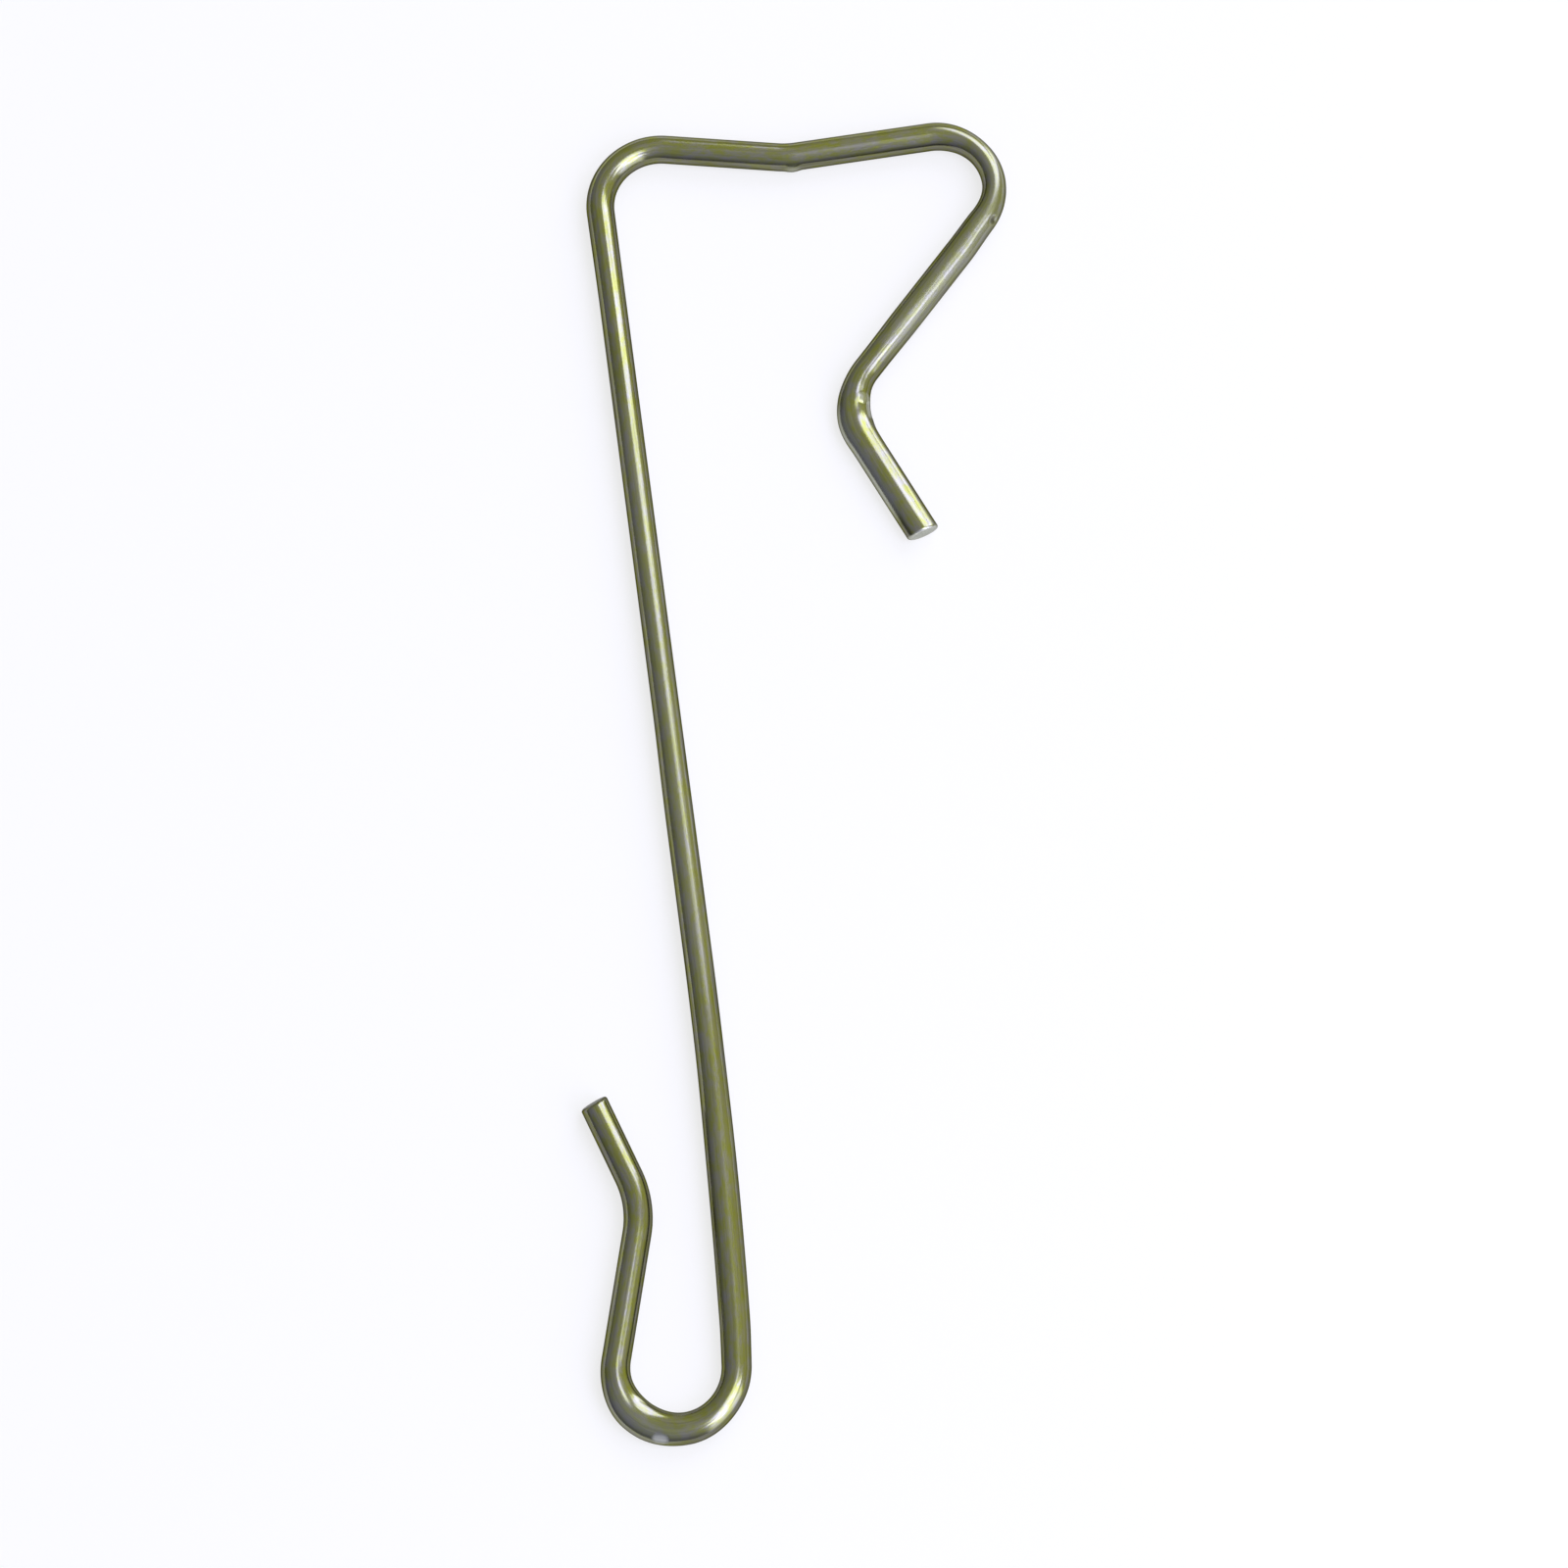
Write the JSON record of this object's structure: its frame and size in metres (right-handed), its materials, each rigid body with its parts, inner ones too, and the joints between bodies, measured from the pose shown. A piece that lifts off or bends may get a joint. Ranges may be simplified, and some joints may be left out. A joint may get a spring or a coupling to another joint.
{
  "type": "slate hook",
  "caption": "Bent round-wire hook: a creased, sprung head clips over a roofing batten, and a narrow-throated bowl at the foot of the long shank carries the tail of a slate.",
  "frame": {"origin": "middle of the hook's footprint, on the surface it lies on", "axes": "+Y along the straight shank towards the head, +X towards the spring arm, +Z square to the plane of the bends"},
  "size_m": [0.053, 0.1278, 0.0027],
  "materials": {
    "drawn_wire": "drawn stainless wire, left as drawn, with a faint olive cast"
  },
  "bodies": {
    "root": {"slate_hook": "drawn_wire"}
  },
  "joints": []
}
